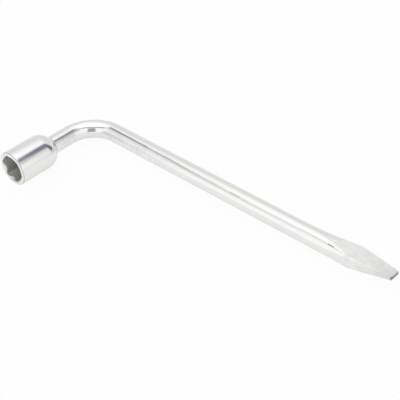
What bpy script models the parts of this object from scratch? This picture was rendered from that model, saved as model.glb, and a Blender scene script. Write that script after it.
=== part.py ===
"""Wheel-nut wrench: a bent round bar with a hexagon socket welded to its short arm and a pry tip on its long arm.

Everything is modelled about the crossing of the two centre lines. The socket's axis runs along X with its mouth
towards -X, the long arm runs along -Y, and Z is square to both arms. An empty then lays the wrench on the table:
the long arm lies along the table and the back edge of the socket props the short arm up.
"""
import math

import bmesh
import bpy
from mathutils import Matrix, Vector

MM = 0.001

# Bar
BAR_DIAMETER = 14.0 * MM
BEND_RADIUS = 25.0 * MM
SHORT_ARM = 80.5 * MM          # crossing of the centre lines to the socket's mouth
LONG_ARM = 278.0 * MM          # crossing of the centre lines to the pry tip

# Hexagon socket
HEX_ACROSS_FLATS = 19.2 * MM   # for a 19 mm wheel nut
HEX_DEPTH = 18.0 * MM
HEX_TURN = math.radians(10)    # how far its corners are turned out of the arms' plane
SOCKET_WALL = 2.4 * MM         # left outside the hexagon's corners
SOCKET_BARREL = 26.3 * MM
SHOULDER_LENGTH = 9.7 * MM     # domed end behind the barrel
LEAD_IN = 1.2 * MM             # the lead-in cone is this much wider than the flats, at each side
STUD_BORE_DIAMETER = 16.5 * MM
STUD_BORE_DEPTH = 5.0 * MM
MOUTH_BREAK = 1.0 * MM          # chamfer round the outside of the mouth

# Joint between the bar and the socket
SPIGOT_DIAMETER = 10.0 * MM
SPIGOT_LENGTH = 10.0 * MM
SPIGOT_BREAK = 0.6 * MM
WELD_LEG = 1.6 * MM
WELD_HEIGHT = 1.5 * MM
WELD_HOLLOW = 0.15 * MM
WELD_EDGE = 0.25 * MM          # left where the weld runs out on the bar
GAP = 0.3 * MM

# Pry tip, forged flat from the end of the bar
FLAT_LENGTH = 60.0 * MM
TIP_THICKNESS = 2.4 * MM
TIP_WIDTH = 7.8 * MM
TIP_RISE = 1.0 * MM            # middle of the tip above the bar's centre line
TIP_SET = 2.5 * MM             # middle of the tip outside the bar's centre line
SPREAD_WIDTH = 16.4 * MM       # where the flattened steel is widest
SPREAD_SET = 1.6 * MM
SPREAD_FROM_TIP = 30.0 * MM
SPREAD_START = 80.0 * MM       # from the tip, where the bar starts to widen
SPREAD_SQUARE = 3.2            # power of the section's oval: 2 is round, more is squarer

# Facets
BAR_SIDES = 48
BEND_STEPS = 20
SPREAD_STEPS = 10
SOCKET_SIDES = 72
SHOULDER_STEPS = 10
WELD_SIDES = 48
WELD_STEPS = 5

UP = Vector((0, 0, 1))
BAR_RADIUS = BAR_DIAMETER / 2
SPIGOT_RADIUS = SPIGOT_DIAMETER / 2
HEX_CORNER = HEX_ACROSS_FLATS / math.sqrt(3)
SOCKET_RADIUS = HEX_CORNER + SOCKET_WALL
SOCKET_LENGTH = SOCKET_BARREL + SHOULDER_LENGTH
NECK_RADIUS = BAR_RADIUS + WELD_HEIGHT
MOUTH = -SHORT_ARM
SOCKET_BACK = MOUTH + SOCKET_LENGTH


def clear_scene():
    """Start from an empty file."""
    for item in list(bpy.data.objects):
        bpy.data.objects.remove(item, do_unlink=True)


def collection(name):
    """A collection of that name in the scene."""
    group = bpy.data.collections.get(name) or bpy.data.collections.new(name)
    if group.name not in bpy.context.scene.collection.children:
        bpy.context.scene.collection.children.link(group)
    return group


def steel(name, colour, roughness):
    """A plated steel."""
    material = bpy.data.materials.new(name)
    material.use_nodes = True
    shader = material.node_tree.nodes["Principled BSDF"]
    shader.inputs["Base Color"].default_value = (*colour, 1.0)
    shader.inputs["Metallic"].default_value = 1.0
    shader.inputs["Roughness"].default_value = roughness
    return material


def finish(bm, name, group, material):
    """Turn the faces outwards, shade the round ones smooth and put the piece in its collection."""
    bmesh.ops.recalc_face_normals(bm, faces=bm.faces)
    for face in bm.faces:
        face.smooth = material is not None
    mesh = bpy.data.meshes.new(name)
    bm.to_mesh(mesh)
    bm.free()
    mesh.set_sharp_from_angle(angle=math.radians(24))
    piece = bpy.data.objects.new(name, mesh)
    if material:
        mesh.materials.append(material)
    group.objects.link(piece)
    return piece


def lathe(profile, sides):
    """Turn a profile of (along X, radius) points about the X axis."""
    bm = bmesh.new()
    points = [bm.verts.new((along, 0.0, radius)) for along, radius in profile]
    edges = [bm.edges.new(pair) for pair in zip(points, points[1:])]
    bmesh.ops.spin(bm, geom=points + edges, cent=(0, 0, 0), axis=(1, 0, 0),
                   angle=math.tau, steps=sides, use_merge=True)
    bmesh.ops.remove_doubles(bm, verts=bm.verts, dist=0.01 * MM)
    return bm


def ring(bm, centre, across, half_width, half_height, power):
    """One section of the bar: an oval with its width across and its height on Z, squarer with a higher power."""
    verts = []
    for number in range(BAR_SIDES):
        angle = math.tau * number / BAR_SIDES
        wide = math.copysign(abs(math.cos(angle)) ** (2 / power), math.cos(angle))
        high = math.copysign(abs(math.sin(angle)) ** (2 / power), math.sin(angle))
        verts.append(bm.verts.new(centre + across * half_width * wide + UP * half_height * high))
    return [bm.edges.new(pair) for pair in zip(verts, verts[1:] + verts[:1])]


def bar_stations():
    """Centre, side, half sizes and squareness of each section from the spigot to the pry tip."""
    stations = []
    step = SOCKET_BACK + GAP
    for along, radius in (
        (step - SPIGOT_LENGTH, SPIGOT_RADIUS - SPIGOT_BREAK),
        (step - SPIGOT_LENGTH + SPIGOT_BREAK, SPIGOT_RADIUS),
        (step, SPIGOT_RADIUS),
        (step, BAR_RADIUS),
    ):
        stations.append((Vector((along, 0, 0)), Vector((0, 1, 0)), radius, radius, 2))
    middle = Vector((-BEND_RADIUS, -BEND_RADIUS, 0))
    for number in range(BEND_STEPS + 1):
        angle = math.radians(90) * number / BEND_STEPS
        side = Vector((math.sin(angle), math.cos(angle), 0))
        stations.append((middle + side * BEND_RADIUS, side, BAR_RADIUS, BAR_RADIUS, 2))
    out = Vector((1, 0, 0))
    for number in range(SPREAD_STEPS + 1):
        share = number / SPREAD_STEPS
        ease = share ** 2
        power = 2 + (SPREAD_SQUARE - 2) * share ** 5
        run = SPREAD_START + (SPREAD_FROM_TIP - SPREAD_START) * share
        half = BAR_RADIUS + (SPREAD_WIDTH / 2 - BAR_RADIUS) * ease
        centre = Vector((SPREAD_SET * ease, run - LONG_ARM, 0))
        stations.append((centre, out, half, BAR_RADIUS, power))
    tip = Vector((TIP_SET, -LONG_ARM, 0))
    stations.append((tip, out, TIP_WIDTH / 2, BAR_RADIUS, SPREAD_SQUARE))
    return stations


def make_bar(group, cutters, material):
    """The bent bar: spigot, short arm, bend, long arm and the flattened tip."""
    bm = bmesh.new()
    loops = [ring(bm, *station) for station in bar_stations()]
    for first, second in zip(loops, loops[1:]):
        bmesh.ops.bridge_loops(bm, edges=first + second)
    bmesh.ops.holes_fill(bm, edges=bm.edges, sides=BAR_SIDES)
    bar = finish(bm, "bar", group, material)
    for side, name in ((1, "flat_above"), (-1, "flat_below")):
        start = Vector((0, FLAT_LENGTH - LONG_ARM, side * BAR_RADIUS))
        end = Vector((0, -LONG_ARM, TIP_RISE + side * TIP_THICKNESS / 2))
        cut(bar, wedge(name, cutters, start, end, side))
    return bar


def wedge(name, group, start, end, side):
    """A block whose one face is the flat from start to end; it reaches past the tip and both edges."""
    run = (end - start).normalized()
    beyond = end + run * BAR_DIAMETER
    before = start - run * BAR_DIAMETER
    height = Vector((0, 0, side * BAR_DIAMETER * 2))
    reach = Vector((SPREAD_WIDTH * 1.5, 0, 0))
    bm = bmesh.new()
    base = [bm.verts.new(corner + shift) for corner, shift in
            ((before, -reach), (before, reach), (beyond, reach), (beyond, -reach))]
    face = bm.faces.new(base)
    raised = bmesh.ops.extrude_face_region(bm, geom=[face])["geom"]
    bmesh.ops.translate(bm, verts=[item for item in raised if isinstance(item, bmesh.types.BMVert)], vec=height)
    return finish(bm, name, group, None)


def shoulder():
    """The socket's domed end as (along, radius) points: part of a quarter oval, which stops at the neck."""
    height = SOCKET_RADIUS - BAR_RADIUS
    stop = math.acos((NECK_RADIUS - BAR_RADIUS) / height)
    length = SHOULDER_LENGTH / math.sin(stop)
    points = []
    for number in range(SHOULDER_STEPS + 1):
        angle = stop * number / SHOULDER_STEPS
        points.append((MOUTH + SOCKET_BARREL + length * math.sin(angle), BAR_RADIUS + height * math.cos(angle)))
    return points


def make_socket(group, cutters, material):
    """The turned socket with its lead-in cone, hexagon, stud bore and back bore for the spigot."""
    floor = MOUTH + HEX_DEPTH + STUD_BORE_DEPTH
    stud = STUD_BORE_DIAMETER / 2
    lead = HEX_ACROSS_FLATS / 2 + LEAD_IN
    bore = SPIGOT_RADIUS + GAP
    bore_end = SOCKET_BACK + GAP - SPIGOT_LENGTH - GAP
    profile = [(floor, 0.0), (floor, stud), (MOUTH + lead - stud, stud), (MOUTH, lead),
               (MOUTH, SOCKET_RADIUS - MOUTH_BREAK), (MOUTH + MOUTH_BREAK, SOCKET_RADIUS)]
    profile += shoulder() + [(SOCKET_BACK, bore), (bore_end, bore), (bore_end, 0.0)]
    socket = finish(lathe(profile, SOCKET_SIDES), "socket", group, material)
    bm = bmesh.new()
    reach = HEX_DEPTH + SOCKET_WALL
    turn = Matrix.Rotation(HEX_TURN, 4, "X") @ Matrix(((0, 0, 1), (0, 1, 0), (-1, 0, 0))).to_4x4()
    place = Matrix.Translation((MOUTH + HEX_DEPTH - reach / 2, 0, 0)) @ turn
    bmesh.ops.create_cone(bm, cap_ends=True, segments=6, radius1=HEX_CORNER, radius2=HEX_CORNER,
                          depth=reach, matrix=place)
    cut(socket, finish(bm, "hexagon", cutters, None))
    return socket


def make_weld(group, material):
    """The ring of weld in the corner between the socket's back face and the bar."""
    inner = BAR_RADIUS + GAP
    toe = SOCKET_BACK + GAP
    top = NECK_RADIUS
    end = toe + WELD_LEG
    profile = [(toe, inner), (toe, top)]
    for number in range(1, WELD_STEPS):
        share = number / WELD_STEPS
        hollow = WELD_HOLLOW * 4 * share * (1 - share)
        profile.append((toe + WELD_LEG * share, top + (inner + WELD_EDGE - top) * share - hollow))
    profile += [(end, inner + WELD_EDGE), (end, inner), (toe, inner)]
    return finish(lathe(profile, WELD_SIDES), "weld", group, material)


def cut(piece, tool):
    """Take the tool's volume out of the piece."""
    tool.hide_render = True
    tool.display_type = "WIRE"
    boolean = piece.modifiers.new(tool.name, "BOOLEAN")
    boolean.operation = "DIFFERENCE"
    boolean.solver = "EXACT"
    boolean.object = tool


def rest_tilt():
    """How far the arms' plane leans about the long arm until the socket's shoulder is on the table."""
    return max(math.acos(BAR_RADIUS / math.hypot(radius, along)) - math.atan2(-along, radius)
               for along, radius in shoulder())


def lay_on_table(pieces, tools, group):
    """Hang everything on one empty, lean it, and stand the middle of its box on the origin."""
    rest = bpy.data.objects.new("rest", None)
    group.objects.link(rest)
    for item in pieces + tools:
        item.parent = rest
    rest.rotation_euler = (0.0, rest_tilt(), 0.0)
    bpy.context.view_layer.update()
    graph = bpy.context.evaluated_depsgraph_get()
    low, high = Vector((1, 1, 1)), Vector((-1, -1, -1))
    for piece in pieces:
        made = piece.evaluated_get(graph)
        for vert in made.data.vertices:
            place = made.matrix_world @ vert.co
            low = Vector(map(min, low, place))
            high = Vector(map(max, high, place))
    rest.location = (-(low.x + high.x) / 2, -(low.y + high.y) / 2, -low.z)
    bpy.context.view_layer.update()


def main():
    clear_scene()
    wrench = collection("wheel_wrench")
    cutters = collection("cutters")
    bar = make_bar(wrench, cutters, steel("bar_plating", (0.80, 0.80, 0.81), 0.16))
    socket = make_socket(wrench, cutters, steel("socket_plating", (0.77, 0.77, 0.79), 0.2))
    weld = make_weld(wrench, steel("weld_plating", (0.70, 0.70, 0.73), 0.32))
    lay_on_table([bar, socket, weld], list(cutters.objects), wrench)


main()
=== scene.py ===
"""Wheel-nut wrench: a bent bar with a hexagon socket welded to its short arm and a forged pry tip."""
import math
from collections import namedtuple

import bmesh
import bpy
from bpy.props import FloatProperty, FloatVectorProperty, PointerProperty
from bpy.types import Operator, Panel, PropertyGroup
from mathutils import Matrix, Quaternion, Vector


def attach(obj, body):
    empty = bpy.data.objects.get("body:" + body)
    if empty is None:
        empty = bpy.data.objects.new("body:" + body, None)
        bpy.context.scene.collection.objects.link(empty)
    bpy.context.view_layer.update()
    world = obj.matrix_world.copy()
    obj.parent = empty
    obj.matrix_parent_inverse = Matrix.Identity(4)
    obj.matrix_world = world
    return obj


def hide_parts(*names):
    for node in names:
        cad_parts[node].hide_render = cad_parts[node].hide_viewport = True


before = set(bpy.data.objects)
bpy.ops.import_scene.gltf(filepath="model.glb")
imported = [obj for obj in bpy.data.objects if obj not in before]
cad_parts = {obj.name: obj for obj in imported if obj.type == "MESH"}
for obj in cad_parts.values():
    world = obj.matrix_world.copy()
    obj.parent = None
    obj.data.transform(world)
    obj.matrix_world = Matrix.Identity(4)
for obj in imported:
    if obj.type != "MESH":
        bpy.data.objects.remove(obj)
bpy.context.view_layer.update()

bl_info = {
    "name": "Wheel-nut wrench",
    "version": (1, 0, 0),
    "blender": (4, 5, 0),
    "location": "View3D > Sidebar > Wrench",
    "description": "Builds a bent socket wrench from its bar, its socket and the weld between them",
    "category": "Object",
}

MM = 0.001
QUARTER = math.radians(90)
SIXTH = math.radians(60)

# How finely the pieces are divided
BAR_SIDES = 192
SIDE_CROWDING = 0.33        # draws the bar's vertices towards its sides, where the blade has its edges
BEND_STEPS = 72
ARM_STEPS = 30
NECK_STEPS = 10             # on the short arm, from the bend to the spigot
BLADE_STEP = 0.7 * MM
TIP_STEPS = 5
SOCKET_SIDES = 288
DOME_STEPS = 28
ARC_STEPS = 6
WELD_SIDES = 192
WELD_STEPS = 12
MERGE_REACH = 0.001 * MM
SHARP = math.radians(32)    # edges that turn by more than this are drawn sharp

# Fits between the pieces
JOINT_GAP = 0.3 * MM        # round the spigot, and between the socket's back and the bar's step
SPIGOT_BREAK = 0.6 * MM     # chamfer on the spigot's end
WELD_LAP = 0.02 * MM        # how far the weld's edge laps over the socket's
FLOOR_DROP = 0.1 * MM       # keeps the floor clear of the wrench

# Forging: powers of the way from the round bar to the widest place
SPREADING = 2               # for the width and the set
SQUARING = 5                # for the section, which turns square late

# Wear of the bar, and painted shade on its blade: shares of a full mask, where no note says otherwise
SCUFF_DEPTH = 0.8
SCUFF_SIDE = 0.5            # of the bar's radius, towards the bend's inner side, where the scuff starts
SCUFF_EASE = 0.25           # of the radius, over which it grows full
SCUFF_LEAD = 8.8 * MM       # how far inside the bend it starts
SCUFF_START = 8.0 * MM      # length over which it comes in
SCUFF_END = 30.0 * MM       # length over which it goes out
GRIND_EASE = 4              # edge roundings over which the ground finish comes in on the blade's sides
NICK_SLOPE = 1.5            # how fast the nick darkens from its outline to the corner
NICK_DEPTH = 0.9
BLADE_SHADE = 0.30          # darkening of the blade at its tip

# Wear of the socket, with painted shade in its pocket and a painted dark reflection round its mouth: shares
# of a full mask, where no note says otherwise
RIM_DULL = 0.4
RIM_INSET = 1.5             # mouth roundings between the barrel's outside and the duller rim
LIP_DULL = 0.1              # at the lead-in cone's edge
LIP_DARK = 0.6             # darkening at the lowest place of that edge
LIP_FADE = 3                # power by which the darkening fades up the sides
STUD_SHADE = 0.4            # painted shade in the stud bore behind the hexagon
# Painted shade on the hexagon's walls
WALL_SHADE = 0.7
WALL_FADE = 0.45            # how much of the painted shade a wall loses from one corner to the next
LIT_CORNER_SHARE = 1 / 7         # of a wall's width, over which a corner left light as a painted highlight turns to painted shade
DARK_REFLECTION_SPAN = 0.05          # half the width of the painted dark reflection line in the mouth's rounding, in roundings


def length(name, text, millimetres):
    """A size in millimetres, kept in metres."""
    return FloatProperty(name=name, description=text, default=millimetres * MM, unit="LENGTH", precision=5)


def paint(name, text, colour):
    """A colour that a user may change."""
    return FloatVectorProperty(name=name, description=text, default=colour, subtype="COLOR", min=0.0, max=1.0)


def turn_of(name, text, degrees):
    """An angle in degrees, kept in radians."""
    return FloatProperty(name=name, description=text, default=math.radians(degrees), unit="ROTATION")


def vector_of(name, text, values, subtype):
    """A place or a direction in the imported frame."""
    return FloatVectorProperty(name=name, description=text, default=values, subtype=subtype)


class BarSizes(PropertyGroup):
    """The bent bar and its spigot"""
    diameter: length("Diameter", "Diameter of the round bar", 14.0)
    bend_radius: length("Bend radius", "Radius of the bend on the bar's centre line", 25.0)
    long_arm: length("Long arm", "From the crossing of the centre lines to the pry tip", 278.0)
    scuff: length("Scuff", "How far the bending tools dulled the inner side, past the bend", 75.0)
    spigot: length("Spigot diameter", "Turned end that goes into the socket's back", 10.0)
    spigot_length: length("Spigot length", "Length of the turned end", 10.0)


class BladeSizes(PropertyGroup):
    """The forged pry tip"""
    flat_length: length("Flat length", "From the tip to where the two flats run out on the bar", 52.0)
    tip_thickness: length("Tip thickness", "Thickness of the blade at its tip", 2.4)
    tip_width: length("Tip width", "Width of the blade at its tip", 7.8)
    tip_rise: length("Tip rise", "Middle of the tip above the bar's centre line", 1.0)
    tip_set: length("Tip set", "Middle of the tip outside the bar's centre line", 2.5)
    spread_width: length("Spread width", "Greatest width of the flattened steel", 16.4)
    spread_set: length("Spread set", "Middle of the widest place outside the centre line", 1.6)
    spread_from_tip: length("Spread from tip", "Where the blade is widest", 30.0)
    spread_start: length("Spread start", "Where the bar starts to widen", 80.0)
    squareness: FloatProperty(name="Squareness", description="Power of the blade's oval section: 2 is round",
                              default=3.2, min=2.0, max=8.0)
    edge: length("Edge rounding", "How softly the flats run into the bar's sides", 0.55)
    dull_length: length("Dull length", "From the tip to the end of the ground finish on the sides", 34.0)
    nick: length("Nick", "Reach of the dark nick in the tip's inner corner", 1.9)


class SocketSizes(PropertyGroup):
    """The socket and its hexagon"""
    reach: length("Short arm", "From the crossing of the centre lines to the socket's mouth", 80.5)
    across_flats: length("Across flats", "Size of the hexagon", 19.2)
    hex_depth: length("Hexagon depth", "Depth of the hexagon from the mouth", 18.0)
    hex_turn: turn_of("Hexagon turn", "How far the corners are turned out of the arms' plane", 10)
    corner_round: length("Corner rounding", "Radius in the hexagon's corners", 0.2)
    wall: length("Wall", "Steel left outside the hexagon's corners", 2.4)
    barrel: length("Barrel", "Length of the straight outside", 26.3)
    shoulder: length("Shoulder", "Length of the domed end behind the barrel", 9.7)
    neck: length("Neck", "Height of the dome's small end above the bar", 1.5)
    lead_in: length("Lead-in", "How much wider than the flats the lead-in cone is, at each side", 0.75)
    lead_depth: length("Lead-in depth", "Depth of the lead-in cone from the mouth", 2.0)
    lip: length("Corner lip", "Break left where the corners run out past the lead-in cone", 0.08)
    stud_bore: length("Stud bore", "Diameter of the clearance for the stud", 16.5)
    stud_depth: length("Stud bore depth", "Depth of the clearance behind the hexagon", 5.0)
    mouth_break: length("Mouth rounding", "Rounding of the mouth's outer edge", 1.0)
    edge: length("Edge rounding", "Rounding of the turned edges", 0.22)


class WeldSizes(PropertyGroup):
    """The ring of weld"""
    leg: length("Leg", "How far the weld runs out along the bar", 1.6)
    hollow: length("Hollow", "How far the weld's face dips", 0.25)
    sink: length("Sink", "How deep the weld bites into the pieces that it joins", 0.15)


class Finishes(PropertyGroup):
    """Colours of the steel and of the floor"""
    plating: paint("Plating", "Bright plating", (0.86, 0.86, 0.87))
    plating_warm: paint("Warm plating", "Where the plating has a cream cast", (0.875, 0.867, 0.84))
    ground: paint("Forged flat", "Grey of the pry tip's flats and of the scuffed side", (0.96, 0.96, 0.95))
    ground_dark: paint("Forged flat streaks", "Darker streaks along the flats", (0.82, 0.82, 0.81))
    # This dark colour serves scratches, the nick and the darkened tip end. It also paints shade in the
    # socket's pocket and on the blade, a dark reflection line round the socket's mouth, and the darkening at
    # the lead-in's lowest edge.
    cut: paint("Dark steel", "Cut end, scratches, stains and the mouth's crease", (0.30, 0.29, 0.27))
    pocket: paint("Pocket", "Thin dull plating inside the socket", (0.87, 0.895, 0.81))
    pocket_dark: paint("Pocket patches", "Darker patches of that plating", (0.65, 0.675, 0.595))
    weld: paint("Weld", "Plated weld", (0.62, 0.62, 0.65))
    floor: paint("Floor", "Plain floor", (0.95, 0.95, 0.95))


class StageSizes(PropertyGroup):
    """Where the wrench lies and where it is seen from"""
    crossing: vector_of("Crossing", "Where the centre lines cross, in the packed frame",
                        (0.035748, 0.132257, 0.007037), "TRANSLATION")
    lean: turn_of("Lean", "How far the arms' plane leans about the long arm at rest", 6.877)
    camera: vector_of("Camera", "Where the camera stands", (-0.328562, -0.38903, 0.500796), "TRANSLATION")
    aim: vector_of("Aim", "Direction that the camera looks in", (0.482081, 0.545218, -0.68581), "DIRECTION")
    roll: turn_of("Roll", "Turn of the camera about its line of sight", -9.304)
    lens: FloatProperty(name="Lens", description="Focal length for a 36 mm frame", default=92.507,
                        unit="CAMERA")
    floor: FloatProperty(name="Floor size", description="Side of the floor", default=6.0, unit="LENGTH")


class WrenchSettings(PropertyGroup):
    """Everything that a user may change"""
    bar: PointerProperty(type=BarSizes)
    blade: PointerProperty(type=BladeSizes)
    socket: PointerProperty(type=SocketSizes)
    weld: PointerProperty(type=WeldSizes)
    finish: PointerProperty(type=Finishes)
    stage: PointerProperty(type=StageSizes)


# Places that the pieces share

def socket_radius(wrench):
    """Outside of the socket's barrel."""
    return wrench.socket.across_flats / math.sqrt(3) + wrench.socket.wall


def socket_back(wrench):
    """Where the socket's dome ends, along the short arm."""
    return wrench.socket.barrel + wrench.socket.shoulder - wrench.socket.reach


def rest_matrix(wrench):
    """Leans the arms' plane until the socket's shoulder is on the table, and carries it to its place."""
    return Matrix.Translation(wrench.stage.crossing) @ Matrix.Rotation(wrench.stage.lean, 4, "Y")


# Shaping in general

def rounded(corners):
    """A profile of points whose corners, given as (along, radius, rounding), have short arcs."""
    points = []
    for number, (along, radius, rounding) in enumerate(corners):
        here = Vector((along, radius))
        if not rounding or number in (0, len(corners) - 1):
            points.append(here)
            continue
        before = (Vector(corners[number - 1][:2]) - here).normalized()
        after = (Vector(corners[number + 1][:2]) - here).normalized()
        half = before.angle(after) / 2
        middle = here + (before + after).normalized() * (rounding / math.sin(half))
        start = here + before * (rounding / math.tan(half)) - middle
        end = here + after * (rounding / math.tan(half)) - middle
        for step in range(ARC_STEPS + 1):
            points.append(middle + start.lerp(end, step / ARC_STEPS).normalized() * rounding)
    return points


def turned(profile, sides):
    """The skin that a profile sweeps round the X axis."""
    bm = bmesh.new()
    verts = [bm.verts.new((point.x, 0.0, point.y)) for point in profile]
    edges = [bm.edges.new(pair) for pair in zip(verts, verts[1:])]
    bmesh.ops.spin(bm, geom=verts + edges, cent=(0, 0, 0), axis=(1, 0, 0), angle=math.tau, steps=sides,
                   use_merge=True)
    bmesh.ops.remove_doubles(bm, verts=bm.verts, dist=MERGE_REACH)
    bmesh.ops.recalc_face_normals(bm, faces=bm.faces)
    return bm


def unroll(bm, along, round_about, radius):
    """A map called skin: U is the way along the piece and V the way round it, in metres."""
    layer = bm.loops.layers.uv.new("skin")
    for face in bm.faces:
        first = face.loops[0].vert[round_about]
        for loop in face.loops:
            angle = loop.vert[round_about]
            angle -= math.tau * round((angle - first) / math.tau)
            loop[layer].uv = (loop.vert[along], angle * radius)


def unroll_turned(bm, radius):
    """The same map for a piece turned about the X axis, with its seam underneath."""
    along = bm.verts.layers.float.new("along")
    round_about = bm.verts.layers.float.new("round_about")
    for vert in bm.verts:
        vert[along] = vert.co.x
        vert[round_about] = math.atan2(vert.co.y, vert.co.z)
    unroll(bm, along, round_about, radius)


def present(bm, name, node, material, wrench):
    """Put a finished piece on the table in place of its node of the frame."""
    bmesh.ops.transform(bm, matrix=rest_matrix(wrench), verts=bm.verts)
    for face in bm.faces:
        face.smooth = True
    mesh = bpy.data.meshes.new(name)
    bm.to_mesh(mesh)
    bm.free()
    mesh.set_sharp_from_angle(angle=SHARP)
    mesh.materials.append(material)
    piece = bpy.data.objects.new(name, mesh)
    bpy.context.scene.collection.objects.link(piece)
    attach(piece, "root")
    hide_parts(node)


# The socket

def shoulder(wrench):
    """The socket's domed end as corners of a profile: part of a quarter oval, which stops at the neck."""
    sizes = wrench.socket
    radius = wrench.bar.diameter / 2
    height = socket_radius(wrench) - radius
    stop = math.acos(sizes.neck / height)
    points = []
    for number in range(DOME_STEPS + 1):
        angle = stop * number / DOME_STEPS
        along = sizes.barrel + sizes.shoulder * math.sin(angle) / math.sin(stop)
        points.append((along, radius + height * math.cos(angle), 0))
    return points


def hexagon(angle, flat, corner):
    """Distance from the axis to a hexagon with rounded corners; a corner lies at angle 0."""
    off = abs((angle + SIXTH / 2) % SIXTH - SIXTH / 2)
    centre = (flat - corner) / math.cos(SIXTH / 2)
    foot = SIXTH / 2 - math.atan2(centre * math.sin(SIXTH / 2), flat)
    if off >= foot:
        return flat / math.cos(SIXTH / 2 - off)
    return centre * math.cos(off) + math.sqrt(corner ** 2 - (centre * math.sin(off)) ** 2)


def push_out(place, radius, turn, inside, sizes):
    """Push the round pocket out to the hexagon, and the lead-in's edge where corners run past it."""
    flat = sizes.across_flats / 2
    grow = hexagon(turn, flat, sizes.corner_round) - flat
    past = max(0.0, grow + sizes.lip - sizes.lead_in)
    if not inside:
        grow = past
    elif place.x < sizes.hex_depth / 2:
        place.x -= (grow - past) * sizes.lead_depth / sizes.lead_in
    place.y *= 1 + grow / radius
    place.z *= 1 + grow / radius


def wall_shade(turn):
    """Painted shade on the hexagon's walls: each darkens towards one corner, and the corners are left light
    as painted highlights.
    """
    share = turn / SIXTH % 1
    lit_corner = max(0.0, 1 - min(share, 1 - share) / LIT_CORNER_SHARE)
    return (WALL_SHADE - WALL_FADE * share) * (1 - lit_corner)


def socket_wear_and_shade(place, radius, turn, inside, wrench):
    """How dull and how dark the socket's skin is, in its pocket, on its rim and round its mouth: the dark in
    the pocket is painted shade, and the dark ring round the mouth a painted reflection.
    """
    sizes = wrench.socket
    outside = socket_radius(wrench)
    if inside:
        # Painted shade on the hexagon's walls and in the stud bore behind them.
        on_wall = place.x < sizes.hex_depth - sizes.edge
        return 1.0, wall_shade(turn) if on_wall else STUD_SHADE
    if radius < outside - RIM_INSET * sizes.mouth_break and place.x < sizes.edge:
        if radius > sizes.across_flats / 2 + sizes.lead_in + sizes.edge:
            return RIM_DULL, 0.0
        return LIP_DULL, LIP_DARK * max(0.0, -place.z / radius) ** LIP_FADE
    # A thin dark ring in the middle of the mouth's rounding: a painted reflection.
    middle = sizes.mouth_break * (1 - math.sqrt(0.5))
    dark_reflection = abs(place.x - middle) < DARK_REFLECTION_SPAN * sizes.mouth_break
    return 0.0, 1.0 if dark_reflection and radius > outside - sizes.mouth_break else 0.0


def turned_socket(wrench):
    """The socket: a turned body whose pocket is pushed out from a round hole to the hexagon."""
    sizes = wrench.socket
    fine = sizes.edge
    flat = sizes.across_flats / 2
    stud = sizes.stud_bore / 2
    floor = sizes.hex_depth + sizes.stud_depth
    outside = socket_radius(wrench)
    back = sizes.barrel + sizes.shoulder
    bore = wrench.bar.spigot / 2 + JOINT_GAP
    bore_end = back - wrench.bar.spigot_length
    bm = turned(rounded([
        (floor, 0.0, 0), (floor, stud, 2 * fine), (sizes.hex_depth, stud, fine),
        (sizes.hex_depth, flat, fine), (sizes.lead_depth, flat, fine), (0.0, flat + sizes.lead_in, fine),
        (0.0, outside, sizes.mouth_break), *shoulder(wrench),
        (back, bore, fine), (bore_end, bore, fine), (bore_end, 0.0, 0),
    ]), SOCKET_SIDES)
    pocket = bm.verts.layers.float.new("pocket")
    # The dark mask holds painted shade on the walls and in the stud bore, a painted dark reflection line
    # round the mouth, and darkening at the lead-in's lowest edge.
    cut = bm.verts.layers.float.new("cut")
    for vert in bm.verts:
        radius = math.hypot(vert.co.y, vert.co.z)
        turn = math.atan2(vert.co.z, vert.co.y) - sizes.hex_turn
        inside = radius < flat + sizes.lead_in / 2 and vert.co.x < floor + fine
        vert[pocket], vert[cut] = socket_wear_and_shade(vert.co, radius, turn, inside, wrench)
        hexagonal = flat - 2 * fine < radius < outside - 2 * sizes.mouth_break
        if hexagonal and vert.co.x < sizes.hex_depth + fine:
            push_out(vert.co, radius, turn, inside, sizes)
    unroll_turned(bm, outside)
    bmesh.ops.translate(bm, verts=bm.verts, vec=(-sizes.reach, 0, 0))
    return bm


# The bar

def drawn_out(bm, ring, vector):
    """Extrude an open end of the bar by a vector; gives the new end's edges."""
    made = bmesh.ops.extrude_edge_only(bm, edges=ring)["geom"]
    verts = [item for item in made if isinstance(item, bmesh.types.BMVert)]
    bmesh.ops.translate(bm, verts=verts, vec=vector)
    return [item for item in made if isinstance(item, bmesh.types.BMEdge) and item.is_boundary]


def narrow(bm, ring, along, share):
    """Scale an open end of the short arm about its centre."""
    verts = list({vert for edge in ring for vert in edge.verts})
    bmesh.ops.scale(bm, verts=verts, vec=(share, share, share), space=Matrix.Translation((-along, 0, 0)))


def draw_long_arm(bm, ring, wrench):
    """Draw the bar out to its tip: long steps, short ones for the blade, and the tip's rounding."""
    sizes, blade = wrench.bar, wrench.blade
    straight = sizes.long_arm - blade.spread_start - sizes.bend_radius
    for step in range(ARM_STEPS):
        ring = drawn_out(bm, ring, (0, -straight / ARM_STEPS, 0))
    forged = blade.spread_start - blade.edge
    count = round(forged / BLADE_STEP)
    for step in range(count):
        ring = drawn_out(bm, ring, (0, -forged / count, 0))
    for step in range(TIP_STEPS):
        fall = math.cos(QUARTER * step / TIP_STEPS) - math.cos(QUARTER * (step + 1) / TIP_STEPS)
        ring = drawn_out(bm, ring, (0, -blade.edge * (1 - fall) / (TIP_STEPS - 1), 0))


def draw_short_arm(bm, ring, wrench):
    """Draw the bar out to the socket's back and step it down to the spigot."""
    sizes = wrench.bar
    step_at = socket_back(wrench) + JOINT_GAP
    for step in range(NECK_STEPS):
        ring = drawn_out(bm, ring, ((step_at + sizes.bend_radius) / NECK_STEPS, 0, 0))
    ring = drawn_out(bm, ring, (0, 0, 0))
    narrow(bm, ring, step_at, sizes.spigot / sizes.diameter)
    ring = drawn_out(bm, ring, (SPIGOT_BREAK - sizes.spigot_length, 0, 0))
    ring = drawn_out(bm, ring, (-SPIGOT_BREAK, 0, 0))
    narrow(bm, ring, step_at - sizes.spigot_length, 1 - 2 * SPIGOT_BREAK / sizes.spigot)


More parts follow.
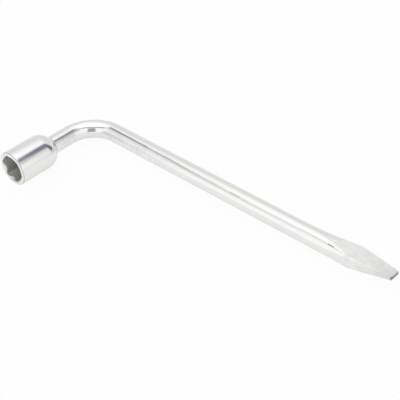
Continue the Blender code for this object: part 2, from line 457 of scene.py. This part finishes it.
def bent_bar(wrench):
    """The bar: a ring swept round the bend and drawn out both ways, then forged."""
    radius, bend = wrench.bar.diameter / 2, wrench.bar.bend_radius
    bm = bmesh.new()
    facing = Matrix(((0, 0, 1, -bend), (1, 0, 0, 0), (0, 1, 0, 0), (0, 0, 0, 1)))
    circle = bmesh.ops.create_circle(bm, cap_ends=False, segments=BAR_SIDES, radius=radius, matrix=facing)
    first = circle["verts"]
    for vert in first:
        angle = math.atan2(vert.co.y, vert.co.z)
        angle += SIDE_CROWDING * math.sin(2 * angle)
        vert.co.y, vert.co.z = radius * math.sin(angle), radius * math.cos(angle)
    start = list({edge for vert in first for edge in vert.link_edges})
    swept = bmesh.ops.spin(bm, geom=first + start, cent=(-bend, -bend, 0), axis=(0, 0, 1),
                           angle=-QUARTER, steps=BEND_STEPS)["geom_last"]
    draw_long_arm(bm, [item for item in swept if isinstance(item, bmesh.types.BMEdge)], wrench)
    draw_short_arm(bm, start, wrench)
    forge(bm, wrench)
    bmesh.ops.holes_fill(bm, edges=bm.edges, sides=0)
    bmesh.ops.recalc_face_normals(bm, faces=bm.faces)
    return bm


def eased_least(value, limit, reach):
    """The lesser of two values, with a soft turn where they meet."""
    share = min(max(0.5 + 0.5 * (limit - value) / reach, 0.0), 1.0)
    return limit + (value - limit) * share - reach * share * (1 - share)


def oval(part, power):
    """A sine or cosine drawn out towards a squarer oval."""
    return math.copysign(abs(part) ** (2 / power), part)


def unbent(place, sizes):
    """How far a place is from the tip along the bar's centre line, and how far it is outside that line."""
    bend = sizes.bend_radius
    if place.y < -bend:
        return sizes.long_arm + place.y, place.x
    if place.x < -bend:
        return sizes.long_arm - 2 * bend + bend * QUARTER - place.x, place.y
    out = Vector((place.x + bend, place.y + bend))
    return sizes.long_arm - bend + bend * QUARTER - bend * math.atan2(out.x, out.y), out.length - bend


def scuffed(run, side, sizes):
    """How much the bending tools dulled the bar: its inner side, from inside the bend to some way past it."""
    half_bend = sizes.bend_radius * QUARTER / 2
    past = abs(run - sizes.long_arm + sizes.bend_radius - half_bend) - half_bend
    inner = (-2 * side / sizes.diameter - SCUFF_SIDE) / SCUFF_EASE
    coming = (past + SCUFF_LEAD) / SCUFF_START
    going = (sizes.scuff - past) / SCUFF_END
    return SCUFF_DEPTH * max(0.0, min(1.0, inner, coming, going))


def flatten(place, run, turn, wrench):
    """Move a place on the round bar to the forged blade; gives how ground and how dark the skin is there."""
    blade = wrench.blade
    radius = wrench.bar.diameter / 2
    share = min((blade.spread_start - run) / (blade.spread_start - blade.spread_from_tip), 1.0)
    power = 2 + (blade.squareness - 2) * share ** SQUARING
    half = radius + (blade.spread_width / 2 - radius) * share ** SPREADING
    middle = blade.spread_set * share ** SPREADING
    if run < blade.spread_from_tip:
        past = 1 - run / blade.spread_from_tip
        half += (blade.tip_width / 2 - half) * past
        middle += (blade.tip_set - middle) * past
    closing = 1 - run / blade.flat_length
    end_share = min(max(0.0, 1 - run / blade.edge), 1.0)
    inset = blade.edge * (1 - math.sqrt(1 - end_share ** 2))
    half -= inset
    top = radius + (blade.tip_rise + blade.tip_thickness / 2 - radius) * closing - inset
    low = -radius + (blade.tip_rise - blade.tip_thickness / 2 + radius) * closing + inset
    high = radius * oval(math.cos(turn), power)
    place.x = middle + half * oval(math.sin(turn), power)
    place.z = -eased_least(-eased_least(high, top, blade.edge), -low, blade.edge)
    beyond = max(high - top, low - high, (blade.dull_length - run) / GRIND_EASE) / blade.edge
    ground = min(max(0.5 + beyond, 0.0), 1.0) if closing > 0 else 0.0
    nick = NICK_SLOPE * (1 - math.hypot(run, place.x - middle + half) / blade.nick)
    # Darker on the tip's rounded end and in the nick; the blade also carries painted shade that grows towards
    # the tip.
    dark = max(end_share, min(nick, NICK_DEPTH), BLADE_SHADE * (1 - run / blade.dull_length))
    return ground, dark


def forge(bm, wrench):
    """Flatten the end of the bar between two planes that close towards the tip, and map the skin."""
    along = bm.verts.layers.float.new("along")
    round_about = bm.verts.layers.float.new("round_about")
    ground = bm.verts.layers.float.new("ground")
    # The dark mask holds the darkened tip end, the nick and the blade's painted shade.
    cut = bm.verts.layers.float.new("cut")
    for vert in bm.verts:
        vert[along], side = unbent(vert.co, wrench.bar)
        vert[round_about] = math.atan2(side, vert.co.z)
        vert[ground] = scuffed(vert[along], side, wrench.bar)
        if vert[along] < wrench.blade.spread_start:
            vert[ground], vert[cut] = flatten(vert.co, vert[along], vert[round_about], wrench)
    unroll(bm, along, round_about, wrench.bar.diameter / 2)


# The weld

def weld_ring(wrench):
    """The ring of weld in the corner between the socket's dome and the bar."""
    sizes = wrench.weld
    radius = wrench.bar.diameter / 2
    neck = radius + wrench.socket.neck
    toe = socket_back(wrench)
    run = JOINT_GAP + sizes.leg
    low = radius - sizes.sink
    face = [(toe - sizes.sink, neck - 2 * sizes.sink), (toe - WELD_LAP, neck + WELD_LAP)]
    for number in range(1, WELD_STEPS + 1):
        share = number / WELD_STEPS
        dip = sizes.hollow * 4 * share * (1 - share) ** 2
        face.append((toe + run * share, neck + (radius - neck) * share - dip))
    face += [(toe + run + sizes.sink, low), (toe - sizes.sink, low), face[0]]
    bm = turned([Vector(point) for point in face], WELD_SIDES)
    unroll_turned(bm, radius)
    return bm


# Finishes

# Noise patterns, each as its scale, its detail and its roughness
CAST = (26.0, 3.0, 0.5)     # cream patches
CLOUDS = (140.0, 4.0, 0.6)
LINES = (1.0, 3.0, 0.6)     # drawing and turning lines, on a stretched skin
SWELL = (1.0, 2.0, 0.4)     # long waves, on a stretched skin
WELD_CLOUDS = (260.0, 3.0, 0.5)
WELD_RIPPLES = (1.0, 2.0, 0.5)

# Levels between which a pattern turns from none to full
CAST_LEVELS = (0.40, 0.66)
STREAK_LEVELS = (0.38, 0.62)
LINE_LEVELS = (0.45, 0.75)
WELD_LEVELS = (0.45, 0.75)

LINE_HEIGHT = 0.006 * MM
LINE_SHARE = 0.10           # of that height, left on the bright plating
WELD_STRETCH = (300.0, 700.0, 1.0)
WELD_HEIGHT = 0.03 * MM
SCRATCH_HALF = 0.35 * MM    # half a scratch's width
SCRATCH_EDGE = 0.15 * MM
SCRATCH_END = 0.7 * MM      # softness of its ends

# A scratch: millimetres along from the tip, round from the top and half its length, and its share of dark
Scratch = namedtuple("Scratch", "along around reach depth")
BAR_SCRATCHES = (Scratch(45.6, -4.9, 2.4, 0.9), Scratch(128.0, -4.5, 4.6, 0.5))

# A roughness, and what clouds and lines add to it
Roughness = namedtuple("Roughness", "least clouds lines", defaults=(0.0,))
WELD_ROUGHNESS = Roughness(0.22, 0.16)


class Wire:
    """A node's socket, written into sums as a number is."""

    def __init__(self, board, socket):
        self.board, self.socket = board, socket

    def __add__(self, other):
        return self.board.sum("ADD", self, other)

    def __radd__(self, other):
        return self.board.sum("ADD", other, self)

    def __sub__(self, other):
        return self.board.sum("SUBTRACT", self, other)

    def __rsub__(self, other):
        return self.board.sum("SUBTRACT", other, self)

    def __mul__(self, other):
        return self.board.sum("MULTIPLY", self, other)

    def __rmul__(self, other):
        return self.board.sum("MULTIPLY", other, self)


class Board:
    """The nodes of one material, or of the world."""

    def __init__(self, owner):
        owner.use_nodes = True
        self.tree = owner.node_tree
        self.tree.nodes.clear()

    def add(self, kind, settings=None, inputs=None, output=0):
        """A node of a kind, with its settings and then its sockets; gives one of its outputs."""
        node = self.tree.nodes.new(kind)
        for key, value in (settings or {}).items():
            setattr(node, key, value)
        for key, value in (inputs or {}).items():
            if isinstance(value, Wire):
                self.tree.links.new(value.socket, node.inputs[key])
            else:
                node.inputs[key].default_value = value
        return Wire(self, node.outputs[output]) if node.outputs else node

    def sum(self, operation, *values):
        """A sum on numbers and wires."""
        return self.add("ShaderNodeMath", {"operation": operation}, dict(enumerate(values)))

    def span(self, value, low, high, start=0.0, end=1.0):
        """A value's way from low to high as a smooth way from start to end."""
        return self.add("ShaderNodeMapRange", {"interpolation_type": "SMOOTHSTEP"},
                        {"Value": value, "From Min": low, "From Max": high, "To Min": start, "To Max": end})

    def near(self, value, middle, reach, ease):
        """One within reach of a middle value, easing to nothing."""
        off = self.sum("ABSOLUTE", value - middle)
        return self.span(off, reach - ease, reach + ease, 1.0, 0.0)

    def blend(self, share, *colours):
        """The second of two colours over the first."""
        first, second = (item if isinstance(item, Wire) else (*item[:3], 1.0) for item in colours)
        return self.add("ShaderNodeMix", {"data_type": "RGBA"}, {0: share, 6: first, 7: second}, 2)

    def stretched(self, vector, scale):
        """A vector times another, axis by axis."""
        return self.add("ShaderNodeVectorMath", {"operation": "MULTIPLY"}, {0: vector, 1: scale})

    def dot(self, vector, direction):
        """How far a vector reaches in a direction."""
        inputs = {0: vector, 1: direction}
        return self.add("ShaderNodeVectorMath", {"operation": "DOT_PRODUCT"}, inputs, "Value")

    def noise(self, vector, scale, detail, roughness):
        """A cloudy value about one half."""
        return self.add("ShaderNodeTexNoise", None,
                        {"Vector": vector, "Scale": scale, "Detail": detail, "Roughness": roughness})

    def skin(self):
        """The piece's own map."""
        return self.add("ShaderNodeUVMap", {"uv_map": "skin"})

    def place(self):
        """Object coordinates."""
        return self.add("ShaderNodeTexCoord", output="Object")

    def mask(self, name):
        """One of the piece's own attributes."""
        return self.add("ShaderNodeAttribute", {"attribute_name": name}, output="Fac")

    def ray(self, kind):
        """One where the light path is of a kind."""
        return self.add("ShaderNodeLightPath", output=kind)

    def bump(self, height, distance):
        """A normal for small heights."""
        return self.add("ShaderNodeBump", None, {"Strength": 1.0, "Distance": distance, "Height": height})

    def steel(self, colour, rough, metal, normal):
        """The material's surface."""
        shader = self.add("ShaderNodeBsdfPrincipled", None,
                          {"Base Color": colour, "Roughness": rough, "Metallic": metal, "Normal": normal})
        self.add("ShaderNodeOutputMaterial", None, {"Surface": shader})


def scratched(board, skin, dark, scratches):
    """A mask with scratches added to it."""
    for mark in scratches:
        along = board.near(board.dot(skin, (1, 0, 0)), mark.along * MM, mark.reach * MM, SCRATCH_END)
        around = board.near(board.dot(skin, (0, 1, 0)), mark.around * MM, SCRATCH_HALF, SCRATCH_EDGE)
        dark = board.sum("MAXIMUM", dark, along * around * mark.depth)
    return dark


def plated(name, finish, mask, dull_colours, dull_rough, dull_metal, rough, lines, waves, swing,
           scratches=()):
    """Bright plating with drawing or turning lines, which a mask turns into a second, duller finish."""
    material = bpy.data.materials.new(name)
    board = Board(material)
    skin, place, dull = board.skin(), board.place(), board.mask(mask)
    fine = board.noise(board.stretched(skin, lines), *LINES)
    swell = board.noise(board.stretched(skin, waves), *SWELL)
    cloud = board.noise(place, *CLOUDS)
    cast = board.span(board.noise(place, *CAST), *CAST_LEVELS)
    streaks = board.span(fine * 0.5 + cloud * 0.5, *STREAK_LEVELS)
    bright = board.blend(cast, finish.plating, finish.plating_warm)
    steel = board.blend(dull, bright, board.blend(streaks, *dull_colours))
    # The dark mask carries scratches and dark marks together with painted shade and a painted dark reflection
    # line.
    dark = scratched(board, skin, board.mask("cut"), scratches)
    colour = board.blend(board.span(dark, 0.0, 1.0), steel, finish.cut)
    bright_rough = rough.least + cloud * rough.clouds + board.span(fine, *LINE_LEVELS) * rough.lines
    duller_rough = dull_rough.least + cloud * dull_rough.clouds
    roughness = bright_rough * (1 - dull) + duller_rough * dull
    metal = 1 - dull * (1 - dull_metal) if dull_metal < 1 else 1.0
    height = fine * (LINE_SHARE + dull * (1 - LINE_SHARE)) + swell * (1 - dull) * swing
    board.steel(colour, roughness, metal, board.bump(height, LINE_HEIGHT))
    return material


def plated_weld(finish):
    """Plating over the weld: duller, with the weld's small ripples."""
    material = bpy.data.materials.new("weld_finish")
    board = Board(material)
    ripple = board.noise(board.stretched(board.skin(), WELD_STRETCH), *WELD_RIPPLES)
    cloud = board.noise(board.place(), *WELD_CLOUDS)
    colour = board.blend(board.span(cloud, *WELD_LEVELS), finish.weld, finish.plating)
    roughness = WELD_ROUGHNESS.least + cloud * WELD_ROUGHNESS.clouds
    board.steel(colour, roughness, 1.0, board.bump(ripple, WELD_HEIGHT))
    return material


# Stage

FLOOR_SEEN = 0.94           # share of plain white in the floor that the camera sees
FLOOR_MIRRORED = 0.55       # and in the floor that the plating mirrors

# Bearings in the light tent count from the front, in degrees, and grow to the right
FRONT = (-0.643, -0.766, 0)
RIGHT = (0.766, -0.643, 0)
UP = (0, 0, 1)

# Colours of the light tent
BACK_WALL = (0.81, 0.81, 0.81)
BACK_TOP = (1.10, 1.10, 1.10)
FRONT_WALL = (1.08, 1.075, 1.06)
CEILING = (1.22, 1.23, 1.25)
GAP = (0.15, 0.16, 0.18)
WHITE = (1.0, 1.0, 1.0)

# Heights between which the back wall brightens and the ceiling starts
BACK_RISE = (34.0, 60.0)
CEILING_RISE = (56.0, 67.0)

# The gap under the ceiling's front edge, which stands higher on the right
GAP_HEIGHT = 53.0
GAP_STEP = 4.0
GAP_STEP_SPAN = (-20.0, 30.0)

# Other spans of the tent are each a middle, a reach and a soft edge
FRONT_SPAN = (-14.0, 82.0, 14.0)
GAP_SPAN = (-17.0, 68.0, 10.0)
GAP_WIDTH = (0.0, 3.8, 1.4)
Card = namedtuple("Card", "bearing height share colour")
GREY_CARD = Card((80.0, 32.0, 8.0), (45.0, 16.0, 8.0), 1.0, (0.64, 0.64, 0.66))
BACK_CARDS = (
    Card((-100.0, 11.0, 5.0), (44.5, 7.0, 4.5), 0.28, (0.25, 0.25, 0.25)),
    Card((-100.0, 7.0, 3.0), (57.5, 2.0, 1.5), 0.6, (0.25, 0.25, 0.25)),
)
SIDE_CARDS = (
    Card((-9.5, 17.5, 2.5), (21.5, 23.5, 1.5), 1.0, (0.40, 0.40, 0.40)),
    Card((96.0, 11.0, 3.0), (20.0, 27.0, 4.0), 1.0, (0.17, 0.18, 0.21)),
    Card((93.0, 13.0, 6.0), (44.5, 9.5, 4.5), 1.0, (0.22, 0.23, 0.28)),
    Card((-128.0, 16.0, 3.0), (49.5, 3.4, 1.6), 1.0, (0.26, 0.27, 0.30)),
)

SENSOR = 36.0
CLIPPING = (0.01, 50.0)


def lay_floor(wrench):
    """A plain white floor that keeps the wrench's shadow."""
    bm = bmesh.new()
    bmesh.ops.create_grid(bm, x_segments=1, y_segments=1, size=wrench.stage.floor / 2,
                          matrix=Matrix.Translation((0, 0, -FLOOR_DROP)))
    mesh = bpy.data.meshes.new("floor")
    bm.to_mesh(mesh)
    bm.free()
    floor = bpy.data.objects.new("floor", mesh)
    bpy.context.scene.collection.objects.link(floor)
    material = bpy.data.materials.new("floor_paint")
    board = Board(material)
    seen = board.ray("Is Camera Ray") * FLOOR_SEEN
    mirrored = board.ray("Is Glossy Ray") * FLOOR_MIRRORED
    share = board.sum("MAXIMUM", seen, mirrored)
    matt = board.add("ShaderNodeBsdfDiffuse", None, {"Color": (*wrench.finish.floor, 1.0)})
    white = board.add("ShaderNodeEmission", None, {"Color": (*WHITE, 1.0), "Strength": 1.0})
    surface = board.add("ShaderNodeMixShader", None, {0: share, 1: matt, 2: white})
    board.add("ShaderNodeOutputMaterial", None, {"Surface": surface})
    mesh.materials.append(material)


def hang_light():
    """A light tent: a white ceiling and pale walls, with the gap and cards that the plating mirrors."""
    scene = bpy.context.scene
    scene.world = scene.world or bpy.data.worlds.new("light_tent")
    board = Board(scene.world)
    way = board.add("ShaderNodeTexCoord", output="Generated")
    height = board.sum("ARCSINE", board.dot(way, UP)) * math.degrees(1)
    bearing = board.sum("ARCTAN2", board.dot(way, RIGHT), board.dot(way, FRONT)) * math.degrees(1)

    def share_of(card):
        return board.near(bearing, *card.bearing) * board.near(height, *card.height) * card.share

    back = board.blend(board.span(height, *BACK_RISE), BACK_WALL, BACK_TOP)
    walls = board.blend(board.near(bearing, *FRONT_SPAN), back, FRONT_WALL)
    ceiling = board.span(height, *CEILING_RISE)
    light = board.blend(ceiling, walls, CEILING)
    light = board.blend(share_of(GREY_CARD) * (1 - ceiling), light, GREY_CARD.colour)
    for card in BACK_CARDS:
        light = board.blend(share_of(card), light, card.colour)
    edge = GAP_HEIGHT + board.span(bearing, *GAP_STEP_SPAN) * GAP_STEP
    gap = board.near(height - edge, *GAP_WIDTH) * board.near(bearing, *GAP_SPAN)
    light = board.blend(gap, light, GAP)
    for card in SIDE_CARDS:
        light = board.blend(share_of(card), light, card.colour)
    shown = board.blend(board.ray("Is Camera Ray"), light, WHITE)
    background = board.add("ShaderNodeBackground", None, {"Color": shown, "Strength": 1.0})
    board.add("ShaderNodeOutputWorld", None, {"Surface": background})


def set_camera(wrench):
    """A camera at the photograph's viewing angle."""
    stage = wrench.stage
    lens = bpy.data.cameras.new("camera")
    lens.lens = stage.lens
    lens.sensor_width = SENSOR
    lens.clip_start, lens.clip_end = CLIPPING
    camera = bpy.data.objects.new("camera", lens)
    bpy.context.scene.collection.objects.link(camera)
    camera.location = stage.camera
    camera.rotation_mode = "QUATERNION"
    level = Vector(stage.aim).to_track_quat("-Z", "Y")
    camera.rotation_quaternion = level @ Quaternion((0, 0, 1), stage.roll)
    bpy.context.scene.camera = camera


# Operators

class WRENCH_OT_bar(Operator):
    """Bend the bar, forge its pry tip and plate it"""
    bl_idname = "wrench.bar"
    bl_label = "Bent bar"

    def execute(self, context):
        wrench = context.scene.wrench
        finish = wrench.finish
        material = plated("bar_finish", finish, mask="ground",
                          dull_colours=(finish.ground_dark, finish.ground),
                          dull_rough=Roughness(0.34, 0.16), dull_metal=1.0,
                          rough=Roughness(0.06, 0.06, 0.05),
                          lines=(60.0, 3600.0, 1.0), waves=(60.0, 150.0, 1.0), swing=22.0,
                          scratches=BAR_SCRATCHES)
        present(bent_bar(wrench), "bar_body", "bar", material, wrench)
        return {"FINISHED"}


class WRENCH_OT_socket(Operator):
    """Turn the socket, form its hexagon and plate it"""
    bl_idname = "wrench.socket"
    bl_label = "Hexagon socket"

    def execute(self, context):
        wrench = context.scene.wrench
        finish = wrench.finish
        material = plated("socket_finish", finish, mask="pocket",
                          dull_colours=(finish.pocket_dark, finish.pocket),
                          dull_rough=Roughness(0.26, 0.2), dull_metal=0.4,
                          rough=Roughness(0.07, 0.07, 0.06),
                          lines=(3600.0, 60.0, 1.0), waves=(160.0, 90.0, 1.0), swing=14.0)
        present(turned_socket(wrench), "socket_body", "socket", material, wrench)
        return {"FINISHED"}


class WRENCH_OT_weld(Operator):
    """Run the weld between the socket and the bar"""
    bl_idname = "wrench.weld"
    bl_label = "Weld"

    def execute(self, context):
        wrench = context.scene.wrench
        present(weld_ring(wrench), "weld_ring", "weld", plated_weld(wrench.finish), wrench)
        return {"FINISHED"}


class WRENCH_OT_stage(Operator):
    """Lay the floor, hang the light and set up the camera"""
    bl_idname = "wrench.stage"
    bl_label = "Stage"

    def execute(self, context):
        wrench = context.scene.wrench
        lay_floor(wrench)
        hang_light()
        set_camera(wrench)
        context.scene.view_settings.view_transform = "Standard"
        return {"FINISHED"}


class WRENCH_PT_panel(Panel):
    """Sizes and finishes of the wrench, and the steps that build it"""
    bl_idname = "WRENCH_PT_panel"
    bl_label = "Wheel-nut wrench"
    bl_space_type = "VIEW_3D"
    bl_region_type = "UI"
    bl_category = "Wrench"

    def draw(self, context):
        wrench = context.scene.wrench
        for step in STEPS:
            self.layout.operator(step.bl_idname)
        for group in WrenchSettings.__annotations__:
            box = self.layout.box()
            box.label(text=group.capitalize())
            settings = getattr(wrench, group)
            for name in settings.__annotations__:
                box.prop(settings, name)


SETTINGS = (BarSizes, BladeSizes, SocketSizes, WeldSizes, Finishes, StageSizes, WrenchSettings)
STEPS = (WRENCH_OT_bar, WRENCH_OT_socket, WRENCH_OT_weld, WRENCH_OT_stage)
CLASSES = (*SETTINGS, *STEPS, WRENCH_PT_panel)


def register():
    for made in CLASSES:
        bpy.utils.register_class(made)
    bpy.types.Scene.wrench = PointerProperty(type=WrenchSettings)


def unregister():
    del bpy.types.Scene.wrench
    for made in reversed(CLASSES):
        bpy.utils.unregister_class(made)


def main():
    register()
    bpy.ops.wrench.bar()
    bpy.ops.wrench.socket()
    bpy.ops.wrench.weld()
    bpy.ops.wrench.stage()


if __name__ == "__main__":
    main()
